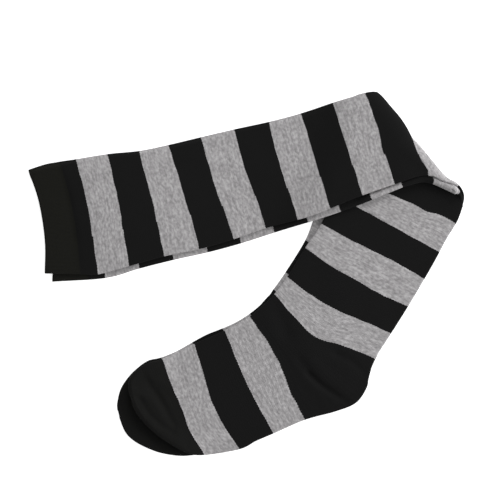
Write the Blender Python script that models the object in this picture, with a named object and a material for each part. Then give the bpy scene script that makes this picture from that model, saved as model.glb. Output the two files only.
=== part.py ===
"""Pair of over-the-knee socks, laid flat one on the other and folded together at the knee.

Plan view: +X to the right, +Y up the page, +Z off the surface they lie on.
Each sock is one knitted tube: a wall with an air gap inside, open at the cuff and closed at the toe.
From the surface up, the layers are outer calf, inner calf, inner thigh and outer thigh,
because the outer sock wraps round the inner one at the fold.
"""

from collections import namedtuple
from math import cos, pi, radians, sin

import bmesh
import bpy
import numpy as np

MM = 0.001

# Cloth
WALL = 1.0 * MM                # knitted wall
AIR = 0.4 * MM                 # gap between the two walls of a flattened tube
LAYER_GAP = 0.7 * MM           # clear space between one sock and the next
HALF = WALL + AIR / 2          # half the thickness of a flattened sock
LAYER = 2 * HALF + LAYER_GAP   # rise from one layer to the next
TOE_EDGE = 0.6                 # last ring's thickness, against the rest

# Fold at the knee
FOLD_TOP = np.array([120.5, 167.4]) * MM      # its outline's upper corner, in plan
FOLD_LOW = np.array([200.1, 70.8]) * MM       # its outline's lower corner
FOLD_RINGS = 9
LOFT_TOP = 0.8 * MM            # slack in the fold at its upper end
LOFT_LOW = 4.5 * MM            # slack at its lower end, where it stands open
LOFT_REACH = 30 * MM           # how far back the slack lifts the thigh

# How far the fold's outline swells past the line between its corners, in millimetres
Swell = namedtuple("Swell", "along out")
FOLD_SWELLS = (
    Swell(-6.0, -0.6), Swell(3.0, 0.8), Swell(18.0, 0.9), Swell(31.0, 1.9), Swell(40.0, 1.2),
    Swell(50.0, -1.1), Swell(60.0, -0.9), Swell(80.0, -1.3), Swell(92.0, -1.7), Swell(98.0, -1.0),
    Swell(104.0, 0.8), Swell(110.0, 2.9), Swell(116.0, 3.4), Swell(121.0, 2.4), Swell(126.0, 0.7),
    Swell(134.0, -0.8),
)

# How the upper layers come down off the lower ones
CALF_LEDGE, CALF_REACH = 3 * MM, 42 * MM
THIGH_LEDGE, THIGH_REACH = 4 * MM, 10 * MM

# Points across a face, closer near its edges, and round each edge
ACROSS = (0.0, 0.03, 0.09, 0.18, 0.28, 0.38, 0.48, 0.58, 0.68, 0.76, 0.83, 0.89, 0.94, 0.98, 1.0)
EDGE_ANGLES = (radians(45), 0.0, radians(-45))

# A row is one section across the flattened sock, in millimetres: its front edge, its back edge,
# how far its middle bows towards the toe, how far the upper wall stands off the lower one,
# and how many rings lie from it up to the next row.
Section = namedtuple("Section", "front_x front_y back_x back_y bow rise rings")

OUTER_THIGH = (
    Section(-199.6, 95.2, -184.0, 1.2, 5.8, 0.3, 2),
    Section(-184.9, 100.3, -168.4, 0.9, 4.8, 0.7, 2),
    Section(-174.7, 102.2, -156.6, 0.6, 4.0, 0.9, 1),
    Section(-170.3, 103.0, -151.6, 0.5, 3.7, 0.2, 1),    # groove where the doubled cuff is sewn down
    Section(-165.9, 103.6, -146.5, 0.4, 3.4, 0.6, 1),
    Section(-157.7, 104.7, -137.1, 0.2, 2.8, 0.7, 2),
    Section(-127.1, 110.0, -107.0, 8.1, 1.0, 0.7, 2),
    Section(-98.6, 112.1, -76.4, 16.8, 0.0, 0.7, 2),
    Section(-70.2, 117.8, -43.4, 23.6, 0.0, 0.7, 2),
    Section(-41.2, 124.9, -12.2, 32.5, 0.0, 0.7, 3),
    Section(-9.5, 132.8, 22.3, 44.2, 0.0, 0.7, 3),
    Section(21.7, 138.9, 60.7, 54.4, 0.0, 0.7, 3),
    Section(51.9, 145.9, 100.0, 70.4, 0.0, 0.6, 3),
    Section(80.3, 157.0, 140.0, 85.2, 0.0, 0.4, 3),
    Section(101.0, 163.3, 163.0, 91.8, 0.0, 0.2, 3),
)
INNER_THIGH = (
    Section(-191.3, 89.7, -176.6, -7.4, 5.8, 0.0, 3),
    Section(-149.4, 99.2, -129.7, -3.4, 2.8, 0.0, 2),
    Section(-118.8, 104.5, -98.0, 5.2, 1.0, 0.0, 2),
    Section(-90.3, 106.6, -66.9, 14.1, 0.0, 0.0, 2),
    Section(-61.9, 112.3, -35.1, 20.2, 0.0, 0.0, 2),
    Section(-32.9, 119.4, -4.4, 28.5, 0.0, 0.0, 3),
    Section(-1.2, 127.3, 30.6, 40.6, 0.0, 0.0, 3),
    Section(30.0, 133.4, 70.5, 53.1, 0.0, 0.0, 3),
    Section(60.2, 140.4, 107.5, 65.6, 0.0, 0.0, 3),
    Section(88.6, 151.0, 144.6, 79.8, 0.0, 0.0, 2),
    Section(98.0, 154.0, 158.5, 84.4, 0.0, 0.0, 2),
    Section(107.0, 156.5, 170.6, 83.2, 0.0, 0.0, 3),
)
OUTER_CALF = (
    Section(98.0, 126.0, 194.9, 52.0, 0.0, 0.0, 2),
    Section(86.5, 101.5, 184.9, 36.6, 0.0, 0.0, 2),
    Section(75.5, 77.5, 175.6, 17.6, 0.0, 0.0, 2),
    Section(65.6, 56.9, 166.0, -0.4, 1.5, 0.0, 2),
    Section(56.0, 30.4, 149.7, -26.4, 3.0, 0.0, 2),
    Section(36.2, 1.5, 135.0, -50.4, 3.5, 0.0, 2),
    Section(26.4, -15.2, 120.6, -74.1, 2.0, 0.0, 1),
    Section(23.0, -19.0, 111.8, -94.0, 2.0, 0.0, 2),
    Section(20.2, -21.9, 109.2, -105.0, 1.0, 0.0, 2),
    Section(16.5, -26.0, 99.4, -116.8, 0.0, 0.0, 2),
    Section(12.9, -29.9, 82.5, -124.8, 0.0, 0.0, 2),
    Section(3.7, -37.3, 52.8, -132.0, 0.0, 0.0, 2),
    Section(-21.6, -50.9, 23.3, -144.6, 3.0, 0.0, 2),
    Section(-49.5, -63.8, -6.5, -158.9, 6.0, 0.0, 2),
    Section(-78.0, -76.8, -44.0, -166.0, 3.0, 0.0, 1),
    Section(-90.0, -81.5, -60.0, -167.4, 1.0, 0.0, 1),
    Section(-101.5, -89.0, -77.0, -165.0, 0.0, 0.0, 1),
    Section(-109.4, -97.7, -90.0, -160.0, 0.0, 0.0, 1),
    Section(-114.5, -106.0, -101.0, -153.3, 0.0, 0.0, 1),
    Section(-117.0, -114.0, -109.0, -146.0, 0.0, 0.0, 1),
    Section(-118.0, -122.0, -114.5, -136.0, 0.0, 0.0, 1),
)
INNER_CALF = (
    Section(104.0, 121.8, 193.4, 48.3, 0.0, 0.0, 2),
    Section(92.8, 96.7, 183.5, 32.0, 0.0, 0.0, 2),
    Section(81.5, 71.6, 174.0, 14.9, 0.0, 0.0, 2),
    Section(70.2, 46.5, 163.8, -4.0, 1.8, 0.2, 2),
    Section(54.7, 23.0, 147.2, -30.5, 3.7, 0.8, 2),
    Section(38.7, -2.9, 132.4, -54.6, 4.9, 1.2, 2),
    Section(26.4, -19.3, 118.0, -78.1, 2.0, 1.8, 1),
    Section(22.5, -23.5, 113.2, -94.8, 2.0, 2.2, 2),
    Section(18.4, -27.3, 110.9, -105.2, 1.0, 2.4, 2),
    Section(13.8, -31.1, 100.8, -118.0, 0.0, 2.4, 2),
    Section(9.7, -34.9, 82.8, -126.5, 0.0, 2.2, 2),
    Section(5.4, -39.0, 54.7, -133.2, 0.0, 1.5, 2),
    Section(-19.4, -52.6, 25.4, -145.5, 3.2, 1.0, 2),
    Section(-47.5, -64.9, -4.6, -160.2, 7.4, 0.9, 2),
    Section(-76.0, -77.5, -39.6, -166.5, 2.5, 1.0, 1),
    Section(-87.5, -81.5, -54.0, -163.5, 1.0, 1.3, 1),
    Section(-97.5, -87.0, -68.0, -156.0, 0.0, 1.4, 1),
    Section(-103.5, -92.0, -80.0, -148.0, 0.0, 1.2, 1),
    Section(-106.4, -97.5, -91.0, -138.0, 0.0, 0.9, 1),
    Section(-107.0, -103.5, -98.5, -129.0, 0.0, 0.6, 1),
    Section(-106.4, -109.5, -103.0, -121.0, 0.0, 0.2, 1),
)

# Where each sock's edges meet the fold, in millimetres along it from its upper corner,
# and how much of its way to the thigh the back edge makes early (or, below 0, late) in the turn
FoldEdges = namedtuple("FoldEdges", "thigh_front thigh_back calf_front calf_back back_lead")
OUTER_FOLD = FoldEdges(-3.6, 92.0, 3.7, 130.5, -0.6)
INNER_FOLD = FoldEdges(5.9, 118.0, 8.0, 131.0, 1.0)

# Creases pressed into the upper wall of the inner foot, in millimetres in plan
Crease = namedtuple("Crease", "start_x start_y end_x end_y depth width")
FOOT_CREASES = (
    Crease(54.3, -84.6, 91.1, -116.4, 1.8, 5.0),    # along the turned heel
    Crease(93.8, -77.3, 107.6, -89.2, 1.0, 4.0),    # beside it, on the back of the ankle
    Crease(23.9, -27.6, 36.8, -47.8, 0.8, 8.0),     # over the instep
    Crease(-90.2, -90.2, -79.1, -122.4, 0.9, 4.0),  # across the toe
    Crease(-77.3, -126.0, -69.0, -139.8, 0.7, 4.0),
)

FOLD_RUN = FOLD_LOW - FOLD_TOP
FOLD_LENGTH = float(np.linalg.norm(FOLD_RUN))
ALONG_FOLD = FOLD_RUN / FOLD_LENGTH
OUT_OF_FOLD = np.array([-ALONG_FOLD[1], ALONG_FOLD[0]])
UP = np.array([0.0, 0.0, 1.0])


def flat_point(plan, height):
    return np.array([plan[0], plan[1], height])


def unit(vector):
    return vector / np.linalg.norm(vector)


def ease(value):
    value = min(max(value, 0.0), 1.0)
    return value * value * (3 - 2 * value)


def fold_slack(along):
    share = min(max(along / FOLD_LENGTH, 0.0), 1.0)
    return LOFT_TOP + (LOFT_LOW - LOFT_TOP) * share


def fold_radius(along, layers):
    """Radius of a layer's middle: 1 layer for the inner sock, 3 for the outer one."""
    return (layers * LAYER + fold_slack(along)) / 2


def fold_axis(along):
    swell = np.interp(along / MM, [row.along for row in FOLD_SWELLS], [row.out for row in FOLD_SWELLS])
    inset = fold_radius(along, 3) + HALF - swell * MM
    plan = FOLD_TOP + ALONG_FOLD * along - OUT_OF_FOLD * inset
    return flat_point(plan, HALF + LAYER + fold_radius(along, 1))


def fold_section(front, back):
    """The section that lies on the fold's axis, as a row's numbers."""
    front_point = fold_axis(front * MM)[:2] / MM
    back_point = fold_axis(back * MM)[:2] / MM
    return Section(*front_point, *back_point, 0.0, 0.0, 1)


def smooth_sections(rows, first_ring, last_ring):
    """Catmull-Rom rows between the table's rows, from first_ring up to last_ring."""
    table = np.array([row[:6] for row in rows])
    padded = np.vstack([2 * table[0] - table[1], table, 2 * table[-1] - table[-2]])
    sections = []
    for index in range(len(rows) - 1):
        before, start, end, after = padded[index:index + 4]
        steps = int(rows[index].rings)
        for step in range(steps):
            u = step / steps
            blend = (2 * start + (end - before) * u
                     + (2 * before - 5 * start + 4 * end - after) * u ** 2
                     + (3 * start - before - 3 * end + after) * u ** 3)
            sections.append(blend / 2)
    sections.append(table[-1])
    return sections[first_ring:len(sections) - 1 + last_ring]


def edge_lines(sections):
    """Front and back edge points in plan, in metres."""
    front = [section[0:2] * MM for section in sections]
    back = [section[2:4] * MM for section in sections]
    return front, back


def outline_of(sections):
    front, back = edge_lines(sections)
    return np.array(front + back[::-1])


def distance_outside(point, outline):
    """How far a point in plan lies outside a closed outline; 0 inside it."""
    inside = False
    nearest = 1.0
    for start, end in zip(outline, np.roll(outline, -1, axis=0)):
        run = end - start
        share = min(max(np.dot(point - start, run) / np.dot(run, run), 0.0), 1.0)
        nearest = min(nearest, float(np.linalg.norm(point - start - run * share)))
        if (start[1] > point[1]) != (end[1] > point[1]):
            crossing = start[0] + run[0] * (point[1] - start[1]) / run[1]
            inside = inside != (point[0] < crossing)
    return 0.0 if inside else nearest


def fold_nearness(point):
    """1 on the fold's axis and falling away from it, with the place along the fold."""
    along = float(np.dot(point - FOLD_TOP, ALONG_FOLD))
    behind = float(np.dot(fold_axis(along)[:2] - point, OUT_OF_FOLD))
    return np.exp(-(max(behind, 0.0) / LOFT_REACH) ** 2), along


def thigh_height(point, calf_outline, thigh_outline=None):
    """Height of a thigh layer's middle, draped over what lies under it."""
    near, along = fold_nearness(point)
    off_calf = distance_outside(point, calf_outline)
    on_calf = 1 - ease((off_calf - CALF_LEDGE) / (CALF_REACH - CALF_LEDGE))
    height = HALF + 2 * LAYER * (on_calf + (1 - on_calf) * near) + fold_slack(along) * near
    if thigh_outline is not None:
        off_thigh = distance_outside(point, thigh_outline)
        on_thigh = 1 - ease((off_thigh - THIGH_LEDGE) / (THIGH_REACH - THIGH_LEDGE))
        height += LAYER * (on_thigh + (1 - on_thigh) * near)
    return height


def crease_depth(point):
    depth = 0.0
    for crease in FOOT_CREASES:
        start = np.array([crease.start_x, crease.start_y]) * MM
        run = np.array([crease.end_x, crease.end_y]) * MM - start
        share = min(max(np.dot(point - start, run) / np.dot(run, run), 0.0), 1.0)
        away = np.linalg.norm(point - start - run * share) / (crease.width * MM)
        depth = max(depth, crease.depth * MM * np.exp(-away ** 2))
    return depth


class Ring:
    """One ring of the tube: its middle line from front edge to back edge, and which way it faces."""

    def __init__(self, middle, facing, rise):
        self.middle = middle      # points from the front edge to the back edge
        self.facing = facing      # out of the face that is outside at the fold
        self.rise = rise          # lift of the upper wall at each point


def flat_ring(section, facing, height_at, creased):
    front, back = section[0:2] * MM, section[2:4] * MM
    width = float(np.linalg.norm(back - front))
    across = (back - front) / width
    # the thigh runs towards the fold and the calf away from it, so the toe's side changes hands
    toeward = np.array([-across[1], across[0]]) if facing[2] > 0 else np.array([across[1], -across[0]])
    middle, rise = [], []
    for share in ACROSS:
        run = HALF + (width - 2 * HALF) * share
        arch = 4 * share * (1 - share)
        point = front + across * run + toeward * section[4] * MM * arch
        middle.append(flat_point(point, height_at(point)))
        lift = section[5] * MM * sin(pi * share)
        if creased:
            lift = max(lift - crease_depth(point), 0.0)
        rise.append(lift * UP)
    return Ring(middle, facing, rise)


def fold_ring(angle, edges, layers):
    """A ring part of the way round the fold: -90 degrees on the calf, +90 on the thigh."""
    share = (angle + pi / 2) / pi
    front = (edges.calf_front + (edges.thigh_front - edges.calf_front) * share) * MM + HALF
    back_share = share + edges.back_lead * share * (1 - share)
    back = (edges.calf_back + (edges.thigh_back - edges.calf_back) * back_share) * MM - HALF
    facing = flat_point(OUT_OF_FOLD, 0.0) * cos(angle) + UP * sin(angle)
    middle = []
    for place in ACROSS:
        along = front + (back - front) * place
        middle.append(fold_axis(along) + facing * fold_radius(along, layers))
    return Ring(middle, facing, [0.0 * UP] * len(ACROSS))


def edge_directions(rings, place):
    """Unit vectors that point out of the tube along one of its edges."""
    other = -1 if place == 0 else 0
    directions = []
    for index, ring in enumerate(rings):
        before = rings[max(index - 1, 0)].middle[place]
        after = rings[min(index + 1, len(rings) - 1)].middle[place]
        outward = unit(np.cross(after - before, ring.facing))
        if np.dot(outward, ring.middle[place] - ring.middle[other]) < 0:
            outward = -outward
        directions.append(outward)
    return directions


def ring_loop(ring, front_out, back_out, half):
    """Points all round a ring, half a thickness off its middle line."""
    up_face = ring.facing[2] > 0
    loop = []
    for point, rise in zip(ring.middle, ring.rise):
        loop.append(point + ring.facing * half + (rise if up_face else 0.0))
    for angle in EDGE_ANGLES:
        loop.append(ring.middle[-1] + (back_out * cos(angle) + ring.facing * sin(angle)) * half)
    for point, rise in zip(reversed(ring.middle), reversed(ring.rise)):
        loop.append(point - ring.facing * half + (0.0 if up_face else rise))
    for angle in reversed(EDGE_ANGLES):
        loop.append(ring.middle[0] + (front_out * cos(angle) + ring.facing * sin(angle)) * half)
    return loop


def close_end(bm, loop, flip):
    """Close a ring across its two faces."""
    count = len(ACROSS)
    turn = count + len(EDGE_ANGLES)
    upper, lower = loop[:count], loop[turn:turn + count][::-1]
    faces = [(upper[i], upper[i + 1], lower[i + 1], lower[i]) for i in range(count - 1)]
    faces.append(tuple(loop[count - 1:turn + 1]))
    faces.append(tuple(loop[turn + count - 1:]) + (loop[0],))
    for index, face in enumerate(faces):
        backwards = flip if index < count - 1 else not flip
        bm.faces.new(face[::-1] if backwards else face)


def join_loops(bm, first, second):
    for index in range(len(first)):
        after = (index + 1) % len(first)
        bm.faces.new((first[index], first[after], second[after], second[index]))


def sock_mesh(name, rings):
    """The wall between an outer and an inner skin, joined round the cuff."""
    front_out = edge_directions(rings, 0)
    back_out = edge_directions(rings, -1)
    bm = bmesh.new()

    def skin(half, count, last_half):
        loops = []
        for index in range(count):
            size = last_half if index == count - 1 else half
            points = ring_loop(rings[index], front_out[index], back_out[index], size)
            loops.append([bm.verts.new(point) for point in points])
        return loops

    outer = skin(HALF, len(rings), HALF * TOE_EDGE)
    inner = skin(AIR / 2, len(rings) - 1, AIR / 2)
    for first, second in zip(outer, outer[1:]):
        join_loops(bm, first, second)
    for first, second in zip(inner, inner[1:]):
        join_loops(bm, second, first)
    join_loops(bm, inner[0], outer[0])
    close_end(bm, outer[-1], False)
    close_end(bm, inner[-1], True)
    bmesh.ops.triangulate(bm, faces=bm.faces[:])
    bmesh.ops.recalc_face_normals(bm, faces=bm.faces[:])
    if bm.calc_volume(signed=True) < 0:
        bmesh.ops.reverse_faces(bm, faces=bm.faces[:])
    mesh = bpy.data.meshes.new(name)
    bm.to_mesh(mesh)
    bm.free()
    mesh.shade_smooth()
    mesh.set_sharp_from_angle(angle=radians(50))
    return mesh


def knit_material(name, colour):
    material = bpy.data.materials.new(name)
    material.use_nodes = True
    shader = material.node_tree.nodes["Principled BSDF"]
    shader.inputs["Base Color"].default_value = (*colour, 1.0)
    shader.inputs["Roughness"].default_value = 0.9
    shader.inputs["Metallic"].default_value = 0.0
    return material


def add_sock(name, rings, material, collection):
    mesh = sock_mesh(name, rings)
    mesh.materials.append(material)
    sock = bpy.data.objects.new(name, mesh)
    collection.objects.link(sock)
    return sock


def sock_rings(thigh, calf, edges, layers, thigh_height_at, calf_height, creased):
    rings = [flat_ring(section, UP, thigh_height_at, False) for section in thigh]
    for index in range(FOLD_RINGS):
        angle = pi / 2 - pi * index / (FOLD_RINGS - 1)
        rings.append(fold_ring(angle, edges, layers))
    for section in calf:
        rings.append(flat_ring(section, -UP, lambda point: calf_height, creased))
    return rings


def main():
    for old in list(bpy.data.objects):
        bpy.data.objects.remove(old, do_unlink=True)
    collection = bpy.data.collections.new("over_the_knee_socks")
    bpy.context.scene.collection.children.link(collection)

    def thigh_sections(rows, edges):
        end = fold_section(edges.thigh_front, edges.thigh_back)
        return smooth_sections(rows + (end,), 0, 0)

    def calf_sections(rows, edges):
        start = fold_section(edges.calf_front, edges.calf_back)
        return smooth_sections((start._replace(rings=3),) + rows, 1, 1)

    inner_thigh = thigh_sections(INNER_THIGH, INNER_FOLD)
    inner_calf = calf_sections(INNER_CALF, INNER_FOLD)
    outer_thigh = thigh_sections(OUTER_THIGH, OUTER_FOLD)
    outer_calf = calf_sections(OUTER_CALF, OUTER_FOLD)

    ankle = 2 * 6                                  # rings of the calf that the thigh can lie on
    calf_outline = outline_of(inner_calf[:ankle])
    thigh_outline = outline_of(inner_thigh)

    inner = sock_rings(inner_thigh, inner_calf, INNER_FOLD, 1,
                       lambda point: thigh_height(point, calf_outline),
                       HALF + LAYER, True)
    outer = sock_rings(outer_thigh, outer_calf, OUTER_FOLD, 3,
                       lambda point: thigh_height(point, calf_outline, thigh_outline),
                       HALF, False)

    grey_knit = knit_material("grey_melange_knit", (0.32, 0.31, 0.32))
    black_knit = knit_material("black_knit", (0.01, 0.01, 0.01))
    add_sock("inner_sock", inner, black_knit, collection)
    add_sock("outer_sock", outer, grey_knit, collection)


main()
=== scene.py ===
import math

import bpy
import numpy as np
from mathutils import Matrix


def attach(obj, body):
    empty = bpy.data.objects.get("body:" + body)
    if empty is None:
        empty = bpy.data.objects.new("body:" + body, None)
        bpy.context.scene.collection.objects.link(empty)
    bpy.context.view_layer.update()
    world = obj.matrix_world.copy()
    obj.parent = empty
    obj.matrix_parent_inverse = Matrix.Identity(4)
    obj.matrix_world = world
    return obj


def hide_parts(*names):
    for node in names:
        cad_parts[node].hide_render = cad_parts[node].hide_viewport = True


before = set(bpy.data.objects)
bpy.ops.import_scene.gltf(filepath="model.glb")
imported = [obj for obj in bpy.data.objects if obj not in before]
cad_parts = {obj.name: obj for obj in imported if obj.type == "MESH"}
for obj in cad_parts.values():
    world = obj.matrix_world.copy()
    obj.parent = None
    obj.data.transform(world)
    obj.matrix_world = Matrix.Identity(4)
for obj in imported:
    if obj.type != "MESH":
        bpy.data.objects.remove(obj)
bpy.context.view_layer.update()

# Pair of over-the-knee socks, laid flat one on the other and folded back together at the knee.
# Everything is in metres, apart from the section tables, the creases and the places along the fold,
# which are in millimetres, in plan, and are multiplied by mm.
mm = 0.001
up = np.array([0.0, 0.0, 1.0])

cloth = {
    "wall": 0.8 * mm,           # knitted wall
    "half": 1.2 * mm,           # half the thickness of a flattened sock
    "inset": 0.4 * mm,          # from the outline to where the face turns into the edge
    "layer": 3.1 * mm,          # from one sock's middle to the next one's
    "coarseStep": 3.4 * mm,     # spacing of the rings on the straight of the thigh
    "fineStep": 2.2 * mm,       # and everywhere else
    "coarseBands": (1, 9),      # that straight, in stripes from the cuff
    "facePoints": 56,           # points across each face
    "crowding": 0.35,           # how much closer together they lie near the edges
    "edgePoints": 7,            # points round each edge
    "edgeShare": 0.02,          # share of the UV map's width that each edge takes
    "toeRings": 3,              # rings that close the toe
    "bandLength": 30.0,         # one stripe, in mm of knitting
    "bandSpan": 26.0,           # stripes that the UV map's height covers
    "bandStart": -1.0,
}

fold = {
    "topCorner": np.array([120.5, 167.4]) * mm,
    "lowCorner": np.array([200.1, 70.8]) * mm,
    "topSlack": 0.8 * mm,       # air inside the turn at its top corner
    "lowSlack": 4.5 * mm,       # and at its lower one
    "slackReach": 38 * mm,      # how far behind the fold that dies away
    "steps": 36,                # rings round the turn
    "stretch": 1.6,             # how much longer than high the turn is at its top corner
    "tightens": (98, 52),       # none of that from the first of these places on, all before the second
    "takeUp": 0.9,              # share of the longer turn that is more knitting
    "tipShape": 0.6,            # how bluntly the front edge comes round the turn
    "rollTurn": (0.45, 0.9),    # share of the turn in which the lower edge starts to roll
    "crestDrop": 0.35,          # share of its height that the rolled edge loses by the turn
    # how far the fold's outline stands past the line between its corners, place along and out
    "swells": ((-6, -1.2), (0, 0.4), (5, 1.3), (10, 1.5), (18, 1.5), (28, 1.8), (34, 1.6), (40, 1.0),
               (46, 0.0), (51, -1.4), (56, -1.6), (61, -0.8), (72, -0.8), (85, -0.8), (97, -1.0),
               (101, -0.6), (105, 0.9), (109, 3.0), (114, 3.8), (119, 3.7), (124, 3.4), (128, 2.5),
               (134, 0.2)),
}

# How the thighs come down off what lies under them: level as far as the ledge, down at the reach.
drape = {
    "calfLedge": 3 * mm, "calfReach": 42 * mm,
    "thighLedge": 4 * mm, "thighReach": 10 * mm,
    "ankleBand": 17.0,          # the calf that they lie on ends at this stripe
    "wave": 0.22 * mm,
    "waveSeed": 5,
}

# One row is one section of the flattened tube. Bands count the stripes from the cuff, and the bows
# are how far the section leans towards the toe a quarter, half and three quarters of the way over.
# front: band, x, y | back: band, x, y | bows | rise of the upper wall
outerSock = {
    "node": "outer_sock",
    "layers": 3,
    "thigh": (
        (-0.4, -200.4, 95.2, -0.4, -185.2, 1.2, 4.4, 5.5, 4.2, 0.5),
        (0.08, -184.9, 100.3, 0.07, -168.4, 0.9, 3.8, 4.8, 3.4, 0.7),
        (0.43, -174.7, 102.2, 0.42, -156.6, 0.6, 3.1, 4.0, 2.9, 0.6),
        (0.58, -170.3, 103.0, 0.57, -151.6, 0.5, 2.8, 3.7, 2.6, 0.6),
        (0.73, -165.9, 103.6, 0.72, -146.5, 0.4, 2.5, 3.4, 2.4, 0.6),
        (1, -156.0, 105.0, 1, -136.2, 0.4, 2.1, 2.9, 1.4, 0.6),
        (2, -127.0, 109.7, 2, -107.6, 8.0, 1.3, 1.9, 0.5, 0.7),
        (3, -98.0, 112.6, 3, -75.4, 17.0, 0.7, 1.6, 0.9, 0.7),
        (4, -70.9, 118.2, 4, -43.2, 23.6, 0.7, 0.8, 0.9, 0.7),
        (5, -41.1, 125.3, 5, -11.4, 32.8, -0.8, -1.2, -0.5, 0.7),
        (6, -10.4, 132.5, 6.15, 22.3, 44.2, -1.0, -0.9, 0.3, 0.7),
        (7, 21.4, 139.4, 7.45, 60.7, 54.4, -1.0, -0.8, -0.3, 0.7),
        (8, 50.9, 147.2, 8.77, 100.0, 70.4, 0.3, 0.3, 0, 0.6),
        (9, 80.2, 156.8, 10.13, 140.0, 84.4, 0, 0, 0, 0.2),
        (9.53, 97.1, 161.8, 10.76, 159.5, 90.7, -0.8, -1.2, -0.6, 0.05),
    ),
    "thighFold": {"front": -8.5, "back": 92.0, "frontBand": 10.04, "backBand": 11.14},
    "calfFold": {"front": 6.0, "back": 130.5, "frontBand": 10.62, "backBand": 12.68},
    "foldTip": 1.2,             # where its front edge passes the fold's outline, in mm along it
    "backLead": -0.6,           # the back edge turns late, which opens the fold's lower corner
    "bandLead": 0.22,           # the stripes bunch up on the outside of the turn
    "roll": 0.0,
    "crest": 0.0,
    "edgeLift": 1.5 * mm,       # its lower edge stands off the roll under it
    "toeCurl": {"height": 0.0, "reach": 24 * mm, "power": 1.3},
    "calf": (
        (11.7, 98.0, 126.0, 13.05, 194.2, 52.2, 0, 0, 0, 0),
        (12.7, 86.5, 101.5, 13.65, 184.9, 36.6, 0, 0, 0, 0),
        (13.9, 75.5, 77.5, 14.35, 175.6, 17.6, 0, 0, 0, 0),
        (15, 65.6, 56.9, 15, 166.0, -0.4, 1.0, 1.5, 1.0, 0),
        (16, 55.3, 30.8, 16, 149.7, -26.4, 2.2, 3.0, 2.2, 0),
        (17, 36.9, 1.0, 17, 135.0, -50.4, 3.0, 4.0, 3.0, 0),
        (18, 25.8, -14.7, 18, 120.6, -74.1, 8.0, 12.0, 4.0, 0),
        (18.2, 23.0, -19.0, 18.2, 111.8, -94.0, 6.0, 8.0, 3.0, 0),
        (18.4, 20.2, -21.9, 18.4, 109.2, -105.0, 4.0, 5.0, 2.0, 0),
        (18.6, 16.5, -26.0, 18.6, 99.4, -116.8, 2.0, 2.5, 1.0, 0),
        (18.8, 12.9, -29.9, 18.8, 82.5, -124.8, 0, 0, 0, 0),
        (19, 3.7, -37.3, 19, 52.8, -132.0, 0, 0, 0, 0),
        (19.5, -8.9, -45.2, 19.5, 38.5, -138.3, 1.1, 1.5, 1.1, 0),
        (20, -21.6, -50.9, 20, 23.3, -144.6, 2.2, 3.0, 2.2, 0),
        (20.5, -35.7, -56.5, 20.5, 8.4, -151.4, 3.4, 4.5, 3.4, 0),
        (21, -49.5, -63.9, 21, -6.5, -158.9, 4.5, 6.0, 4.5, 0),
        (21.5, -63.5, -71.8, 21.5, -25.2, -163.2, 3.4, 4.5, 3.4, 0),
        (22, -78.3, -77.8, 22, -44.0, -165.7, 2.2, 3.0, 2.2, 0),
        (22.35, -90.3, -80.8, 22.35, -60.0, -166.9, 0.7, 1.0, 0.7, 0),
        (22.7, -101.5, -89.0, 22.7, -77.0, -164.5, 0, 0, 0, 0),
        (23, -109.4, -97.7, 23, -90.0, -160.0, 0, 0, 0, 0),
        (23.25, -114.5, -106.0, 23.25, -101.6, -153.9, 0, 0, 0, 0),
        (23.45, -116.8, -114.0, 23.45, -109.6, -146.5, 0, 0, 0, 0),
        (23.6, -118.0, -122.0, 23.6, -114.5, -136.0, 0, 0, 0, 0),
        (23.7, -117.9, -126.6, 23.7, -116.8, -131.4, 0, 0, 0, 0),
    ),
}

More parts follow.
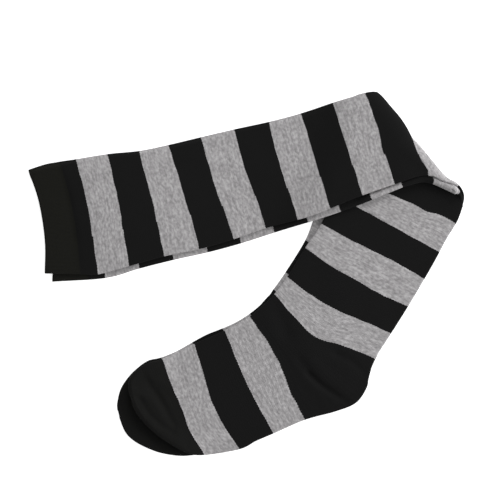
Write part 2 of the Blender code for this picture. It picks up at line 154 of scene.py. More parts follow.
innerSock = {
    "node": "inner_sock",
    "layers": 1,
    "thigh": (
        (-0.4, -192.1, 89.7, -0.4, -178.5, -6.4, 4.4, 5.5, 4.2, 0),
        (1, -149.4, 99.2, 1, -129.7, -3.0, 2.0, 2.8, 2.0, 0),
        (2, -118.8, 104.5, 2, -98.1, 5.8, 0.6, 1.0, 0.6, 0),
        (3, -90.3, 106.6, 3, -66.8, 13.7, 0, 0, 0, 0),
        (4, -61.9, 112.3, 4, -35.2, 20.7, 0, 0, 0, 0),
        (5, -32.9, 119.4, 5, -4.5, 29.0, 0, 0, 0, 0),
        (6, -1.2, 127.3, 6.15, 30.7, 40.3, 0, 0, 0, 0),
        (7, 30.0, 133.4, 7.45, 70.7, 52.5, 0, 0, 0, 0),
        (8, 60.2, 140.4, 8.72, 107.5, 65.6, 0, 0, 0, 0),
        (9, 88.6, 151.0, 10.03, 144.4, 80.6, 0, 0, 0, 0),
        (9.3, 98.0, 154.0, 10.5, 158.5, 84.4, 0, 0, 0, 0),
        (9.46, 103.3, 155.5, 10.95, 170.6, 83.2, -1.0, -1.4, -0.6, 0),
    ),
    "thighFold": {"front": 2.2, "back": 118.0, "frontBand": 9.98, "backBand": 11.75},
    "calfFold": {"front": 9.0, "back": 131.0, "frontBand": 10.55, "backBand": 12.5},
    "foldTip": 7.0,
    "backLead": 1.0,
    "bandLead": 0.0,
    "roll": 3.3 * mm,           # how far its lower edge stands open where it rolls over by the fold
    "crest": 2.2 * mm,          # and how high the edge stands beside the sock on top of it
    "edgeLift": 0.0,
    "toeCurl": {"height": 5.0 * mm, "reach": 24 * mm, "power": 1.3},    # the toe's middle stands up
    "calf": (
        (11.90, 104.0, 121.8, 12.93, 193.4, 48.3, 0, 0, 0, 0),
        (12.92, 92.8, 96.7, 13.52, 183.5, 32.0, 0, 0, 0, 0),
        (14.04, 81.5, 71.6, 14.23, 174.6, 15.1, 0, 0, 0, 0),
        (15, 69.8, 45.8, 15, 163.6, -4.3, 0.4, -0.5, -1.0, 0.2),
        (16, 55.1, 23.6, 16, 148.5, -29.6, 2.9, 2.6, 2.7, 0.8),
        (17, 38.5, -3.3, 17, 132.9, -54.4, 4.3, 4.9, 2.2, 1.2),
        (18, 26.5, -19.2, 18, 118.1, -77.9, 8.0, 12.3, 4.5, 1.8),
        (18.2, 22.5, -23.5, 18.2, 112.5, -94.6, 6.5, 9.0, 3.5, 2.2),
        (18.4, 18.4, -27.3, 18.4, 110.2, -104.9, 4.5, 6.0, 2.5, 2.4),
        (18.6, 13.8, -31.1, 18.6, 100.8, -118.0, 2.5, 3.0, 1.0, 2.4),
        (18.8, 9.7, -34.9, 18.8, 82.5, -125.7, 1.0, 1.0, 0, 2.2),
        (19, 3.8, -39.8, 19, 54.1, -133.5, -3.1, -3.2, -0.1, 1.5),
        (20, -19.6, -52.7, 20, 25.0, -146.2, 1.5, 2.5, 1.7, 1.0),
        (20.5, -33.6, -58.9, 20.5, 9.2, -152.9, 2.2, 4.2, 3.3, 0.9),
        (21, -47.6, -65.1, 21, -6.2, -160.6, 2.9, 5.8, 4.9, 0.9),
        (22, -77.1, -78.9, 22, -38.2, -165.8, 1.8, 2.1, 3.6, 1.0),
        (22.3, -87.5, -81.5, 22.3, -54.0, -163.5, 0.7, 1.0, 0.7, 1.9),
        (22.6, -97.5, -87.0, 22.6, -68.0, -156.0, 0, 0, 0, 2.3),
        (22.85, -103.5, -92.0, 22.85, -80.0, -148.0, 0, 0, 0, 2.2),
        (23.1, -106.4, -97.5, 23.1, -91.0, -138.0, 0, 0, 0, 1.8),
        (23.3, -107.0, -103.5, 23.3, -98.5, -129.0, 0, 0, 0, 1.2),
        (23.45, -106.4, -109.5, 23.45, -103.0, -121.0, 0, 0, 0, 0.2),
        (23.55, -106.0, -113.2, 23.55, -105.0, -117.2, 0, 0, 0, 0),
    ),
}

foldRun = fold["lowCorner"] - fold["topCorner"]
foldLength = float(np.linalg.norm(foldRun))
alongFold = foldRun / foldLength
outOfFold = np.array([-alongFold[1], alongFold[0]])


def flat3(plan, height):
    plan = np.asarray(plan, dtype=float)
    return np.concatenate([plan, np.broadcast_to(height, plan.shape[:-1])[..., None]], axis=-1)


# a soft step from 0 at start to 1 at end, whichever of the two is larger
def softStep(value, start, end):
    share = np.clip((value - start) / (end - start), 0.0, 1.0)
    return share * share * (3 - 2 * share)


def foldSlack(along):
    share = np.clip(along / foldLength, 0.0, 1.0)
    return fold["topSlack"] + (fold["lowSlack"] - fold["topSlack"]) * share


def foldRadius(along, layers):
    return (layers * cloth["layer"] + foldSlack(along)) / 2


# the fold's swells a millimetre apart, with the corners of the table rounded off
swellPlaces = np.arange(-12.0, 141.0)
swellKernel = np.hanning(11) / np.hanning(11).sum()
swellCurve = np.convolve(np.pad(np.interp(swellPlaces, *zip(*fold["swells"])), 5, mode="edge"),
                         swellKernel, mode="valid")


# how much longer than high the turn is: soft at the top of the fold, tight at its lower corner
def foldStretch(along):
    return 1 + fold["stretch"] * softStep(along / mm, *fold["tightens"])


# how much more knitting the stretched turn takes on each side of the fold's outline, in stripes
def foldExtra(along):
    longer = (foldStretch(along) - 1) * foldRadius(along, 3)
    return fold["takeUp"] * longer / (cloth["bandLength"] * mm)


def foldAxis(along):
    along = np.asarray(along, dtype=float)
    swell = np.interp(along / mm, swellPlaces, swellCurve) * mm
    inset = foldStretch(along) * foldRadius(along, 3) + cloth["half"] - swell
    plan = fold["topCorner"] + alongFold * along[..., None] - outOfFold * inset[..., None]
    return flat3(plan, cloth["half"] + cloth["layer"] + foldRadius(along, 1))


# the section on the fold's axis, as one more row of a table; towards is 1 on the thigh's side and -1
# on the calf's
def foldRow(ends, towards):
    places = np.linspace(ends["front"], ends["back"], 5) * mm
    line = foldAxis(places)[:, :2] / mm
    chord = line[0] + (line[-1] - line[0]) * np.linspace(0, 1, 5)[:, None]
    bows = ((line - chord) @ outOfFold)[1:4] * towards
    bands = np.array([ends["frontBand"], ends["backBand"]]) - foldExtra(places[[0, -1]]) * towards
    return (bands[0], *line[0], bands[1], *line[-1], *bows, 0)


# Catmull-Rom rows a mesh step apart, on a smooth line through the table's rows
def smoothRows(rows):
    table = np.array(rows, dtype=float)
    padded = np.vstack([2 * table[0] - table[1], table, 2 * table[-1] - table[-2]])
    coarseFrom, coarseTo = cloth["coarseBands"]
    smooth = []
    for index in range(len(table) - 1):
        before, start, end, after = padded[index:index + 4]
        reach = max(math.dist(start[1:3], end[1:3]), math.dist(start[4:6], end[4:6])) * mm
        spacing = cloth["coarseStep"] if coarseFrom <= start[0] < coarseTo else cloth["fineStep"]
        steps = max(int(round(reach / spacing)), 2)
        for step in range(steps):
            u = step / steps
            smooth.append(((2 * start + (end - before) * u
                            + (2 * before - 5 * start + 4 * end - after) * u ** 2
                            + (3 * start - before - 3 * end + after) * u ** 3)) / 2)
    smooth.append(table[-1])
    return np.array(smooth)


bowPlaces = np.linspace(0, 1, 33)


# a smooth line through 0, the three bows and 0
def bowCurve(bows):
    points = np.array([-bows[0], 0.0, *bows, 0.0, -bows[2]])
    curve = []
    for place in 4 * bowPlaces:
        index = min(int(place), 3)
        u = place - index
        a, b, c, d = points[index:index + 4]
        curve.append((2 * b + (c - a) * u + (2 * a - 5 * b + 4 * c - d) * u * u
                      + (3 * b - a - 3 * c + d) * u ** 3) / 2)
    return curve


# how far points in plan lie from a line of points
def distanceTo(points, line):
    nearest = np.full(len(points), 1.0)
    for start, end in zip(line, line[1:]):
        run = end - start
        share = np.clip(((points - start) @ run) / max(run @ run, 1e-12), 0, 1)
        nearest = np.minimum(nearest, np.linalg.norm(points - start - share[:, None] * run, axis=1))
    return nearest


# how far points in plan lie outside a closed outline; 0 inside it
def distanceOutside(points, outline):
    nearest = distanceTo(points, np.vstack([outline, outline[:1]]))
    inside = np.zeros(len(points), dtype=bool)
    for start, end in zip(outline, np.roll(outline, -1, axis=0)):
        run = end - start
        if start[1] != end[1]:
            spans = (start[1] > points[:, 1]) != (end[1] > points[:, 1])
            crossing = start[0] + run[0] * (points[:, 1] - start[1]) / run[1]
            inside ^= spans & (points[:, 0] < crossing)
    nearest[inside] = 0.0
    return nearest


def outlineOf(rows):
    return np.vstack([rows[:, 1:3], rows[::-1, 4:6]]) * mm


softWaves = {"count": 7, "shortest": 28, "longest": 75, "divisor": 4}     # lengths in mm


# slow uneven waves between about -1 and 1, from a few sines with seeded directions
def softNoise(x, y, seed):
    rng = np.random.default_rng(seed)
    total = np.zeros_like(x)
    for wave in range(softWaves["count"]):
        angle = rng.uniform(0, math.pi)
        length = rng.uniform(softWaves["shortest"], softWaves["longest"]) * mm
        phase = rng.uniform(0, 2 * math.pi)
        total += np.sin((x * math.cos(angle) + y * math.sin(angle)) * 2 * math.pi / length + phase)
    return total / softWaves["divisor"]


# height of a thigh's middle, draped over what lies under it
def thighHeight(points, calfOutline, thighOutline):
    along = (points - fold["topCorner"]) @ alongFold
    behind = np.sum((foldAxis(along)[:, :2] - points) * outOfFold, axis=1)
    near = np.exp(-(np.maximum(behind, 0.0) / fold["slackReach"]) ** 2)
    on = softStep(distanceOutside(points, calfOutline), drape["calfReach"], drape["calfLedge"])
    height = cloth["half"] + 2 * cloth["layer"] * (on + (1 - on) * near) + foldSlack(along) * near
    # both thighs wave together where nothing presses them flat
    wave = drape["wave"] * (1 + softNoise(points[:, 0], points[:, 1], drape["waveSeed"]))
    height += wave * (1 - near)
    if thighOutline is not None:
        on = softStep(distanceOutside(points, thighOutline), drape["thighReach"], drape["thighLedge"])
        height += cloth["layer"] * (on + (1 - on) * near)
    return height


# how far over a face each point lies, and the angles of the points round an edge
evenShare = np.linspace(0, 1, cloth["facePoints"])
crowdedShare = 0.5 - 0.5 * np.cos(math.pi * evenShare)
faceShare = (1 - cloth["crowding"]) * evenShare + cloth["crowding"] * crowdedShare
edgeAngles = np.linspace(math.pi / 2, -math.pi / 2, cloth["edgePoints"] + 2)[1:-1]

# Where along a sock each thing begins and where it is complete, in stripes from the cuff along the
# sock's back edge.
stations = {
    "bend": (9.0, 10.0), "straighten": (14.0, 13.0),    # sections bent as the fold is
    "thighMeets": 9.7, "calfMeets": 14.2,   # flat sections begin to move on to the turn
    "lift": (6.5, 9.0), "liftEnds": (10.9, 10.2),
    "roll": (10.0, 10.8),
    "crest": (8.5, 9.0), "crestDrops": (9.9, 10.9),
    "toeCurl": (21.6, 22.5),    # this one along the front edge
}

# And how far over the face it begins and is complete.
overFace = {"lift": (0.7, 1.0), "roll": (0.72, 1.0), "crest": (0.93, 0.98)}


# middle line of one section in plan, with the band at each of its points
def flatSection(row, thigh):
    front, back = row[1:3] * mm, row[4:6] * mm
    width = np.linalg.norm(back - front)
    across = (back - front) / width
    toeward = np.array([-across[1], across[0]]) * (1 if thigh else -1)
    run = cloth["inset"] + (width - 2 * cloth["inset"]) * faceShare
    bow = np.interp(faceShare, bowPlaces, bowCurve(row[6:9])) * mm
    plan = front + run[:, None] * across + bow[:, None] * toeward
    # by the fold the sections are bent and the stripes are not
    bent = softStep(row[3], *stations["bend"]) * softStep(row[3], *stations["straighten"])
    bands = row[0] + (row[3] - row[0]) * faceShare + bent * bow / (cloth["bandLength"] * mm)
    return plan, bands


# places along the fold of one ring of the turn; share is 1 on the thigh's side and 0 on the calf's
def foldPlaces(sock, share):
    thighEnd, calfEnd = sock["thighFold"], sock["calfFold"]
    backShare = share + sock["backLead"] * share * (1 - share)
    frontEnd = thighEnd["front"] if share > 0.5 else calfEnd["front"]
    tipShare = (1 - math.cos(math.pi * (share - 0.5))) ** fold["tipShape"]
    front = (sock["foldTip"] + (frontEnd - sock["foldTip"]) * tipShare) * mm
    back = (calfEnd["back"] + (thighEnd["back"] - calfEnd["back"]) * backShare) * mm
    return front + cloth["inset"] + (back - front - 2 * cloth["inset"]) * faceShare


# the stripes on that ring
def foldBands(sock, share):
    thighEnd, calfEnd = sock["thighFold"], sock["calfFold"]
    lead = sock["bandLead"] * math.sin(math.pi * share)
    frontBand = calfEnd["frontBand"] + (thighEnd["frontBand"] - calfEnd["frontBand"]) * share
    backBand = calfEnd["backBand"] + (thighEnd["backBand"] - calfEnd["backBand"]) * share + lead
    bands = frontBand + (backBand - frontBand) * (faceShare + lead * faceShare * (faceShare - 1))
    turned = 2 * share - 1
    return bands - foldExtra(foldPlaces(sock, share)) * turned * abs(turned)


# one ring of the turn: the sock's middle line, its stripes, and the way out of its upper wall
def foldRing(sock, share):
    along, angle = foldPlaces(sock, share), math.pi * (share - 0.5)
    stretch, radius = foldStretch(along)[:, None], foldRadius(along, sock["layers"])[:, None]
    outward = flat3(outOfFold, 0.0) * math.cos(angle)
    facing = outward / stretch + up * math.sin(angle)
    facing /= np.linalg.norm(facing, axis=1)[:, None]
    # the stripes run on into those of the flat section that the turn ends on
    onThigh = share > 0.5
    endRow = sock["thighRows"][-1] if onThigh else sock["calfRows"][0]
    missing = flatSection(endRow, onThigh)[1] - foldBands(sock, 1 if onThigh else 0)
    rolled = softStep(share, *fold["rollTurn"])
    return {"middle": foldAxis(along) + (outward * stretch + up * math.sin(angle)) * radius,
            "bands": foldBands(sock, share) + missing * (2 * share - 1) ** 2,
            "facing": facing, "rise": 0.0, "roll": sock["roll"] * rolled,
            "crest": (1 - fold["crestDrop"]) * sock["crest"] * rolled}


# how far the flat sections next to the fold are moved, so that they run into the turn without a step
def meetFold(sock, thigh):
    row = sock["thighRows"][-1] if thigh else sock["calfRows"][0]
    return foldRing(sock, 1 if thigh else 0)["middle"][:, :2] - flatSection(row, thigh)[0]


# every ring of the tube from cuff to toe
def sockRings(sock, calfOutline, thighOutline):
    rings = []
    thighShift, calfShift = meetFold(sock, True), meetFold(sock, False)
    lastThigh, firstCalf = sock["thighRows"][-1][3], sock["calfRows"][0][3]
    allUp = np.tile(up, (len(faceShare), 1))
    for row in sock["thighRows"][:-1]:
        place = row[3]
        plan, bands = flatSection(row, True)
        plan = plan + thighShift * softStep(place, stations["thighMeets"], lastThigh)
        height = thighHeight(plan, calfOutline, thighOutline)
        standing = softStep(place, *stations["lift"]) * softStep(place, *stations["liftEnds"])
        lift = sock["edgeLift"] * standing * softStep(faceShare, *overFace["lift"])
        crest = sock["crest"] * softStep(place, *stations["crest"])
        crest *= 1 - fold["crestDrop"] * softStep(place, *stations["crestDrops"])
        rings.append({"middle": flat3(plan, height + lift), "bands": bands, "rise": row[9] * mm,
                      "facing": allUp, "roll": sock["roll"] * softStep(place, *stations["roll"]),
                      "crest": crest})
    for step in range(fold["steps"] + 1):
        rings.append(foldRing(sock, 1 - step / fold["steps"]))
    calfHeight = cloth["half"] + (cloth["layer"] if sock["layers"] == 1 else 0.0)
    outline, toeCurl = outlineOf(sock["calfRows"]), sock["toeCurl"]
    for row in sock["calfRows"][1:]:
        plan, bands = flatSection(row, False)
        plan = plan + calfShift * softStep(row[3], stations["calfMeets"], firstCalf)
        inside = np.clip(1 - distanceTo(plan, outline) / toeCurl["reach"], 0, 1)
        curl = toeCurl["height"] * inside ** toeCurl["power"] * softStep(row[0], *stations["toeCurl"])
        rings.append({"middle": flat3(plan, calfHeight + curl), "bands": bands, "rise": row[9] * mm,
                      "facing": -allUp, "roll": 0.0, "crest": 0.0})
    return rings


# unit vectors out of the tube along one edge
def edgeDirections(rings, place):
    other = -1 if place == 0 else 0
    line = np.array([ring["middle"][place] for ring in rings])
    tangent = np.gradient(line, axis=0)
    directions = []
    for ring, along in zip(rings, tangent):
        outward = np.cross(along, ring["facing"][place])
        outward /= np.linalg.norm(outward)
        if outward @ (ring["middle"][place] - ring["middle"][other]) < 0:
            outward = -outward
        directions.append(outward)
    return directions


# points and UVs of the whole skin, a row of the grid for each ring
def sockSurface(rings, relief):
    frontOut, backOut = edgeDirections(rings, 0), edgeDirections(rings, -1)
    edgeCount = len(edgeAngles)
    count = 2 * len(faceShare) + 2 * edgeCount + 1
    points = np.zeros((len(rings), count, 3))
    uvs = np.zeros((len(rings), count, 2))
    # the UV map runs over one face, round the back edge, over the other face and round the front edge
    halfEdge = cloth["edgeShare"] / 2
    onFace = (0.5 - 2 * halfEdge) * faceShare
    onEdge = 2 * halfEdge * (np.arange(edgeCount) + 1) / (edgeCount + 1)
    around = np.concatenate([halfEdge + onFace, 0.5 - halfEdge + onEdge,
                             0.5 + halfEdge + onFace, 1 - halfEdge + onEdge])
    rolling = softStep(faceShare, *overFace["roll"])[:, None]
    cresting = softStep(faceShare, *overFace["crest"])[:, None]
    for index, ring in enumerate(rings):
        middle, facing, toToe = ring["middle"], ring["facing"], len(rings) - 1 - index
        half = cloth["half"] * min(1.0, math.sqrt(toToe / cloth["toeRings"]))
        # the upper wall stands off the lower one only where the sock lies flat
        isUp, isDown = facing[0][2] > 0.2, facing[0][2] < -0.2
        pillow = (ring["rise"] * np.sin(math.pi * faceShare))[:, None] * up * (1.0 if toToe else 0.0)
        # rolling up and standing up both take the back edge in
        roll, crest = ring["roll"], ring["crest"]
        moved = middle - max(0.9 * roll, 0.5 * crest) * rolling * backOut[index]
        faceA = moved + facing * (half + crest * cresting) + (pillow if isUp else 0)
        faceB = moved - facing * (half + roll * rolling) + (pillow if isDown else 0)
        backHalf = half + (roll + crest) / 2
        backMiddle = moved[-1] + (crest - roll) / 2 * facing[-1]
        edgeBack = backMiddle + backHalf * (np.cos(edgeAngles)[:, None] * backOut[index]
                                            + np.sin(edgeAngles)[:, None] * facing[-1])
        edgeFront = middle[0] + half * (np.cos(edgeAngles)[:, None] * frontOut[index]
                                        - np.sin(edgeAngles)[:, None] * facing[0])
        points[index, :-1] = np.vstack([faceA, edgeBack, faceB[::-1], edgeFront])
        bands = ring["bands"]
        ringBands = np.concatenate([bands, np.full(edgeCount, bands[-1]), bands[::-1],
                                    np.full(edgeCount, bands[0])])
        high = (ringBands - cloth["bandStart"]) / cloth["bandSpan"]
        uvs[index, :-1] = np.stack([around, high], axis=1)
        uvs[index, -1] = (1 + halfEdge, high[0])
    points[..., 2] += relief(points, uvs)
    points[:, -1] = points[:, 0]
    return points, uvs


# Creases and ridges on the top of the foot, as lines in plan. Height is positive for a ridge.
footCreases = (
    {"line": ((58.4, -92.0), (68.1, -101.6), (77.3, -108.0), (86.5, -114.2), (92.0, -117.0)),
     "height": -2.6, "width": 2.9},     # the turned heel
    {"line": ((49.5, -79.0), (56.0, -88.5)), "height": -0.8, "width": 4.0},
    {"line": ((60.0, -79.0), (76.0, -95.0), (91.0, -106.0)), "height": 0.5, "width": 5.0},
    {"line": ((82.8, -73.6), (95.7, -79.1), (102.6, -84.6), (109.5, -90.6)),
     "height": -1.4, "width": 3.2},
    {"line": ((64.4, -112.2), (65.8, -124.2)), "height": -0.3, "width": 2.6},
    {"line": ((25.5, -29.4), (32.2, -41.4), (36.8, -53.8)), "height": -1.2, "width": 6.5},
    {"line": ((-97.5, -115.0), (-88.8, -129.7), (-77.3, -139.8), (-67.2, -145.8)),
     "height": -1.2, "width": 3.2},
    {"line": ((-95.7, -88.3), (-87.7, -104.4), (-79.6, -114.7), (-71.8, -129.7), (-65.8, -138.9)),
     "height": -1.2, "width": 3.4},
    {"line": ((-92.3, -92.9), (-77.3, -99.8), (-68.1, -107.6)), "height": 0.5, "width": 3.6},
    {"line": ((-100.3, -109.0), (-85.6, -116.8), (-77.3, -127.4)), "height": 0.5, "width": 3.2},
    {"line": ((-95.7, -127.0), (-85.6, -138.9), (-72.7, -148.1), (-58.9, -157.3)),
     "height": 0.7, "width": 3.6},
    {"line": ((-105.0, -98.5), (-103.0, -113.0)), "height": 0.3, "width": 3.6},
    {"line": ((-94.0, -87.5), (-101.8, -92.8), (-104.8, -98.2), (-105.4, -103.8), (-104.8, -109.8),
              (-103.2, -117.0), (-101.4, -120.6), (-97.0, -128.4), (-89.6, -137.2), (-79.0, -147.0),
              (-67.2, -154.8), (-54.0, -162.0)),
     "height": 0.8, "width": 1.6},      # the linked edge of the toe
)

# And on the underside of the thighs, where they hang free of the calf.
thighCreases = (
    {"line": ((-150.0, 84.0), (-128.0, 62.0), (-112.0, 30.0)), "height": 0.5, "width": 4.5},
    {"line": ((-104.0, 98.0), (-92.0, 74.0)), "height": 0.4, "width": 3.5},
    {"line": ((-58.0, 92.0), (-34.0, 70.0), (-26.0, 44.0)), "height": 0.6, "width": 5.5},
    {"line": ((2.0, 116.0), (18.0, 92.0)), "height": 0.35, "width": 4.0},
)


def creaseHeight(plan, creases):
    total = np.zeros(plan.shape[:-1])
    flat = plan.reshape(-1, 2)
    for crease in creases:
        nearest = distanceTo(flat, np.array(crease["line"]) * mm)
        bump = crease["height"] * mm * np.exp(-(nearest / (crease["width"] * mm)) ** 2)
        total += bump.reshape(total.shape)
    return total


# how far over one face of the tube, 0 to 1, and how far along it in stripes, each point of a UV map is
def readUvs(uvs, faceStart):
    halfEdge = cloth["edgeShare"] / 2
    over = np.clip((uvs[..., 0] - faceStart - halfEdge) / (0.5 - 2 * halfEdge), 0, 1)
    return over, uvs[..., 1] * cloth["bandSpan"] + cloth["bandStart"]


# The places are in stripes from the cuff.
welt = {
    "edge": 0.54,               # where the doubled cuff is sewn on
    "step": 0.9 * mm, "stepPlaces": (0.39, 0.69),
    "swell": 1.9 * mm, "swellPlaces": (0.3, 1.3),
    "fadePlaces": (5.8, 1.3),
    "groove": 0.5 * mm, "groovePlace": 0.48, "grooveWidth": 0.07,
}


# The doubled cuff lies tight and flat, and the single knit swells out where it is sewn on, less so
# towards the back edge and nowhere quite evenly.
def outerRelief(points, uvs):
    over, bands = readUvs(uvs, 0.0)
    step = welt["step"] * softStep(bands, *welt["stepPlaces"])
    swell = welt["swell"] * softStep(bands, *welt["swellPlaces"])
    groove = welt["groove"] * np.exp(-((bands - welt["groovePlace"]) / welt["grooveWidth"]) ** 2)
    fade = softStep(bands, *welt["fadePlaces"])
    uneven = 1 - 0.5 * softStep(over, 0.6, 0.95) + 0.12 * np.sin(23 * over)
    return ((step * uneven + swell) * fade - groove * uneven) * np.sin(over * math.pi) ** 0.4


# The foot's creases and waves lie between its first two pairs of places, the thigh's creases between
# the other two.
innerFolds = {
    "footStarts": (14.5, 16.0), "footEnds": (23.5, 23.2),
    "thighStarts": (0.0, 0.5), "thighEnds": (9.0, 8.0),
    "wave": 0.3 * mm, "waveSeed": 11,
}


# waves and creases on the upper face of the calf and foot, and creases under the free thigh
def innerRelief(points, uvs):
    over, bands = readUvs(uvs, 0.5)
    foot = softStep(bands, *innerFolds["footStarts"]) * softStep(bands, *innerFolds["footEnds"])
    thigh = softStep(bands, *innerFolds["thighStarts"]) * softStep(bands, *innerFolds["thighEnds"])
    waves = innerFolds["wave"] * softNoise(points[..., 0], points[..., 1], innerFolds["waveSeed"])
    top = (waves + creaseHeight(points[..., :2], footCreases)) * foot
    under = creaseHeight(points[..., :2], thighCreases) * thigh
    return (top + under) * np.sin(over * math.pi) ** 0.5


def emptySelection():
    if bpy.context.mode != "OBJECT":
        bpy.ops.object.mode_set(mode="OBJECT")
    bpy.ops.object.select_all(action="DESELECT")


# a grid wrapped round the sock's form, sewn shut along its side and toe, then given its wall
def knitTube(name, points, uvs):
    along, around = points.shape[0], points.shape[1]
    emptySelection()
    bpy.ops.mesh.primitive_grid_add(x_subdivisions=around - 1, y_subdivisions=along - 1, size=1.0)
    tube = bpy.context.object
    tube.name = name
    mesh = tube.data
    mesh.name = name
    # the grid's own corners say which row and column of the tube each of its points is
    flat = np.empty(len(mesh.vertices) * 3)
    mesh.vertices.foreach_get("co", flat)
    flat = flat.reshape(-1, 3)
    column = np.rint((flat[:, 0] + 0.5) * (around - 1)).astype(int)
    row = np.rint((flat[:, 1] + 0.5) * (along - 1)).astype(int)
    mesh.vertices.foreach_set("co", points[row, column].ravel())
    corner = np.empty(len(mesh.loops), dtype=int)
    mesh.loops.foreach_get("vertex_index", corner)
    layer = mesh.uv_layers[0] if mesh.uv_layers else mesh.uv_layers.new(name="UVMap")
    layer.name = "knitUV"
    layer.data.foreach_set("uv", uvs[row[corner], column[corner]].ravel())
    mesh.update()
    bpy.ops.object.mode_set(mode="EDIT")
    bpy.ops.mesh.select_all(action="SELECT")
    bpy.ops.mesh.remove_doubles(threshold=0.01 * mm)
    bpy.ops.mesh.normals_make_consistent(inside=False)
    bpy.ops.mesh.select_all(action="DESELECT")
    bpy.ops.object.mode_set(mode="OBJECT")
    wall = tube.modifiers.new("wall", "SOLIDIFY")
    wall.thickness = cloth["wall"]
    wall.offset = -1.0
    wall.use_rim = True
    bpy.ops.object.modifier_apply(modifier=wall.name)
    bpy.ops.object.shade_smooth()
    return tube


# sRGB hex to linear
def srgb(code):
    parts = [int(code[i:i + 2], 16) / 255 for i in (0, 2, 4)]
    return tuple(c / 12.92 if c <= 0.04045 else ((c + 0.055) / 1.055) ** 2.4 for c in parts) + (1.0,)


def addNode(tree, kind, inputs=None, **settings):
    node = tree.nodes.new(kind)
    for key, value in settings.items():
        setattr(node, key, value)
    for key, value in (inputs or {}).items():
        if isinstance(value, bpy.types.NodeSocket):
            tree.links.new(value, node.inputs[key])
        else:
            node.inputs[key].default_value = value
    return node


jersey = {
    "name": "combed_cotton_jersey",
    "black": "161616",
    "heavyBlack": "1b1b18",   # the doubled or reinforced knit of the welt and the toe
    "toeHeavy": 0.25,         # how much of the heavier black the toe has
    "greyDark": ("878586", 0.34),     # greys, and where each stands in the mix of fibres
    "greyMiddle": ("9d9b9c", 0.495),
    "greyLight": ("b6b4b5", 0.65),
    "flecks": 0.58,           # shares of fine flecks, longer streaks and cloudy patches in the grey
    "streaks": 0.28,
    "clouds": 0.14,
    "round": 200.0,       # mm round a sock
    "wales": 84,          # a real sock has about 168 round; drawn twice as coarse, so that they show
    "courses": 18,        # to a stripe; really about 36
    "jogPlace": 0.335,    # where each round of knitting starts, round the tube
    "jog": 0.02,          # part of a course, in stripes
    "wander": 0.05,       # of the courses, in stripes
    "tooth": 0.012,       # a stripe's edge steps from leg to leg of its stitches by this part of it
    "firstGrey": 1.0,
    "lastGrey": 22.0,
    # painted shade: the next two say how much darker the colour is painted in the hollows of the knit
    "hollowShade": 0.10,       # how much darker the hollows between stitches are
    "ribHollowShade": 0.16,    # and how much more between the ribs of the welt
    "stitchMean": 0.41,
    "relief": 0.4 * mm,
}


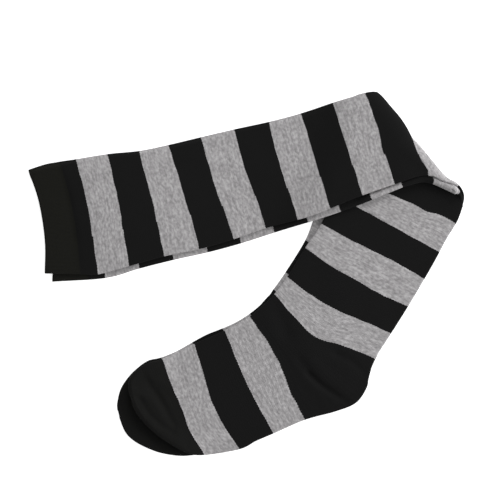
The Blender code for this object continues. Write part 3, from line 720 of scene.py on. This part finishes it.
# Single jersey knitted in rounds: black yarn, and a grey melange spun from dark and pale fibres,
# which gives the grey its short dark flecks along the courses.
def jerseyKnit(name):
    material = bpy.data.materials.new(name)
    material.use_nodes = True
    tree = material.node_tree
    shader = tree.nodes["Principled BSDF"]

    def maths(operation, first, second=0.0, third=0.0):
        node = addNode(tree, "ShaderNodeMath", {0: first, 1: second, 2: third}, operation=operation)
        return node.outputs[0]

    # noise whose cells are so many mm round the sock and so many along it
    def yarnNoise(roundSize, alongSize, **inputs):
        place = addNode(tree, "ShaderNodeCombineXYZ", {
            0: maths("MULTIPLY", around, jersey["round"] / roundSize),
            1: maths("MULTIPLY", band, cloth["bandLength"] / alongSize)})
        noise = addNode(tree, "ShaderNodeTexNoise", {"Vector": place.outputs[0], "Scale": 1.0, **inputs})
        return noise.outputs[0]

    uv = addNode(tree, "ShaderNodeUVMap", uv_map="knitUV")
    parts = addNode(tree, "ShaderNodeSeparateXYZ", {0: uv.outputs[0]})
    around, high = parts.outputs[0], parts.outputs[1]
    band = maths("MULTIPLY_ADD", high, cloth["bandSpan"], cloth["bandStart"])

    # a V-shaped stitch: two slanting legs to each wale
    wale = maths("MULTIPLY", around, jersey["wales"])
    leg = maths("MULTIPLY", maths("ABSOLUTE", maths("SUBTRACT", maths("FRACT", wale), 0.5)), 2.0)
    course = maths("ADD", maths("MULTIPLY", band, jersey["courses"]), maths("MULTIPLY", leg, 0.5))
    rung = maths("COSINE", maths("MULTIPLY", course, 2 * math.pi))
    legRound = maths("SINE", maths("MULTIPLY", leg, math.pi))
    stitch = maths("MULTIPLY", maths("MULTIPLY_ADD", rung, 0.35, 0.65), legRound)

    # stripes, with the small step where each round begins and a little wander in the courses
    turn = maths("FRACT", maths("SUBTRACT", maths("ADD", around, 1.0), jersey["jogPlace"]))
    shift = maths("MULTIPLY", maths("SUBTRACT", turn, 0.5), jersey["jog"])
    wander = maths("SUBTRACT", yarnNoise(12.0, 40.0, Detail=1.0), 0.5)
    wander = maths("MULTIPLY", wander, jersey["wander"])
    tooth = maths("MULTIPLY", leg, jersey["tooth"])
    stripe = maths("ADD", maths("ADD", band, wander), maths("ADD", shift, tooth))
    odd = maths("GREATER_THAN", maths("FRACT", maths("MULTIPLY", stripe, 0.5)), 0.5)
    inside = maths("MULTIPLY", maths("GREATER_THAN", stripe, jersey["firstGrey"]),
                   maths("LESS_THAN", stripe, jersey["lastGrey"]))
    isGrey = maths("MULTIPLY", odd, inside)
    isWelt = maths("LESS_THAN", band, welt["edge"])
    isToe = maths("GREATER_THAN", band, jersey["lastGrey"] + 0.04)
    isHeavy = maths("MULTIPLY_ADD", isToe, jersey["toeHeavy"], isWelt)

    # the fibres of the melange make flecks of two or three stitches, drawn no finer, so that they show
    fleck = yarnNoise(3.2, 2.1, Detail=1.0, Roughness=0.55)
    streak = yarnNoise(14.0, 2.5, Detail=0.5)
    cloud = yarnNoise(12.0, 9.0, Detail=1.0)
    fibre = maths("MULTIPLY_ADD", fleck, jersey["flecks"], maths("MULTIPLY", streak, jersey["streaks"]))
    fibre = maths("ADD", fibre, maths("MULTIPLY", cloud, jersey["clouds"]))
    ramp = addNode(tree, "ShaderNodeValToRGB", {0: fibre})
    stops = ramp.color_ramp.elements
    stops.new(0.5)
    for stop, grey in zip(stops, ("greyDark", "greyMiddle", "greyLight")):
        code, place = jersey[grey]
        stop.position = place
        stop.color = srgb(code)

    # the mix node's colour sockets, 6 and 7, come after its float and vector ones
    dark = addNode(tree, "ShaderNodeMix", {0: isHeavy, 6: srgb(jersey["black"]),
                                           7: srgb(jersey["heavyBlack"])}, data_type="RGBA")
    colour = addNode(tree, "ShaderNodeMix", {0: isGrey, 6: dark.outputs[2], 7: ramp.outputs[0]},
                     data_type="RGBA")
    # painted shade: the colour is darkened in the hollows between the stitches, most of all between the
    # ribs of the welt, as if shade fell in them
    hollowShadeDepth = maths("MULTIPLY_ADD", isWelt, jersey["ribHollowShade"], jersey["hollowShade"])
    paintedHollowShade = maths("MULTIPLY_ADD", maths("SUBTRACT", stitch, jersey["stitchMean"]), hollowShadeDepth, 1.0)
    shaded = addNode(tree, "ShaderNodeVectorMath", {0: colour.outputs[2], "Scale": paintedHollowShade},
                     operation="SCALE")

    ribbed = maths("MULTIPLY", legRound, isWelt)
    height = maths("ADD", maths("MULTIPLY_ADD", stitch, 0.6, maths("MULTIPLY", fleck, 0.4)), ribbed)
    bump = addNode(tree, "ShaderNodeBump",
                   {"Height": height, "Strength": 0.5, "Distance": jersey["relief"]})
    tree.links.new(shaded.outputs[0], shader.inputs["Base Color"])
    tree.links.new(bump.outputs[0], shader.inputs["Normal"])
    shader.inputs["Roughness"].default_value = 0.9
    shader.inputs["IOR"].default_value = 1.5
    shader.inputs["Specular IOR Level"].default_value = 0.05
    shader.inputs["Sheen Weight"].default_value = 0.02
    shader.inputs["Sheen Roughness"].default_value = 0.5
    return material


def makeSocks():
    for sock in (innerSock, outerSock):
        sock["thighRows"] = smoothRows((*sock["thigh"], foldRow(sock["thighFold"], 1)))
        sock["calfRows"] = smoothRows((foldRow(sock["calfFold"], -1), *sock["calf"]))
    aboveAnkle = innerSock["calfRows"][:, 0] <= drape["ankleBand"]
    calfOutline = outlineOf(innerSock["calfRows"][aboveAnkle])
    thighOutline = outlineOf(innerSock["thighRows"])
    material = jerseyKnit(jersey["name"])
    for sock, over, relief in ((innerSock, None, innerRelief), (outerSock, thighOutline, outerRelief)):
        points, uvs = sockSurface(sockRings(sock, calfOutline, over), relief)
        piece = knitTube(sock["node"] + "_knit", points, uvs)
        piece.data.materials.append(material)
        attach(piece, "root")
        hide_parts(sock["node"])
        print(piece.name, "made with", len(piece.data.polygons), "faces")


stage = {"size": 6.0, "below": 0.3 * mm, "paper": "f4f4f4", "glow": 0.7}


def makeStage():
    emptySelection()
    bpy.ops.mesh.primitive_plane_add(size=stage["size"], location=(0, 0, -stage["below"]))
    floor = bpy.context.object
    floor.name = "floor"
    # white paper lit from below as on a light table, which takes the shadows off it
    paper = bpy.data.materials.new("backlit_white_paper")
    paper.use_nodes = True
    shader = paper.node_tree.nodes["Principled BSDF"]
    shader.inputs["Base Color"].default_value = srgb(stage["paper"])
    shader.inputs["Roughness"].default_value = 0.95
    shader.inputs["Specular IOR Level"].default_value = 0.1
    shader.inputs["Emission Color"].default_value = srgb("ffffff")
    shader.inputs["Emission Strength"].default_value = stage["glow"]
    floor.data.materials.append(paper)
    print("floor laid")


# Two big soft lamps to the right of the picture; degrees from +X and above the floor, metres, watts.
lamps = (
    {"name": "right_softbox", "azimuth": -8, "elevation": 19, "away": 3.0, "size": 1.6, "power": 66.0},
    {"name": "upper_softbox", "azimuth": 75, "elevation": 32, "away": 3.0, "size": 1.6, "power": 42.0},
)
roomLight = 0.525


def makeLight():
    world = bpy.data.worlds.new("studio")
    world.use_nodes = True
    background = world.node_tree.nodes["Background"]
    background.inputs["Color"].default_value = srgb("ffffff")
    background.inputs["Strength"].default_value = roomLight
    bpy.context.scene.world = world
    for lamp in lamps:
        azimuth, elevation = math.radians(lamp["azimuth"]), math.radians(lamp["elevation"])
        data = bpy.data.lights.new(lamp["name"], "AREA")
        data.shape = "SQUARE"
        data.size = lamp["size"]
        data.energy = lamp["power"]
        softbox = bpy.data.objects.new(lamp["name"], data)
        softbox.location = (lamp["away"] * math.cos(elevation) * math.cos(azimuth),
                            lamp["away"] * math.cos(elevation) * math.sin(azimuth),
                            lamp["away"] * math.sin(elevation))
        softbox.rotation_euler = (0.0, math.pi / 2 - elevation, azimuth)
        bpy.context.collection.objects.link(softbox)
    bpy.context.scene.view_settings.view_transform = "Standard"
    bpy.context.scene.view_settings.look = "None"
    print("lights set")


# The photo looks straight down on the pair, 0.46 m of the surface across its width.
camera = {"lens": 200.0, "sensor": 36.0, "viewWidth": 0.46, "aim": (3.68 * mm, 22.08 * mm),
          "midHeight": 6 * mm}


def makeCamera():
    data = bpy.data.cameras.new("camera")
    data.lens = camera["lens"]
    data.sensor_width = camera["sensor"]
    eye = bpy.data.objects.new("camera", data)
    away = camera["viewWidth"] * camera["lens"] / camera["sensor"]
    eye.location = (camera["aim"][0], camera["aim"][1], away + camera["midHeight"])
    bpy.context.collection.objects.link(eye)
    bpy.context.scene.camera = eye
    print("camera", round(away, 3), "m above")


makeCamera()
makeSocks()
makeStage()
makeLight()
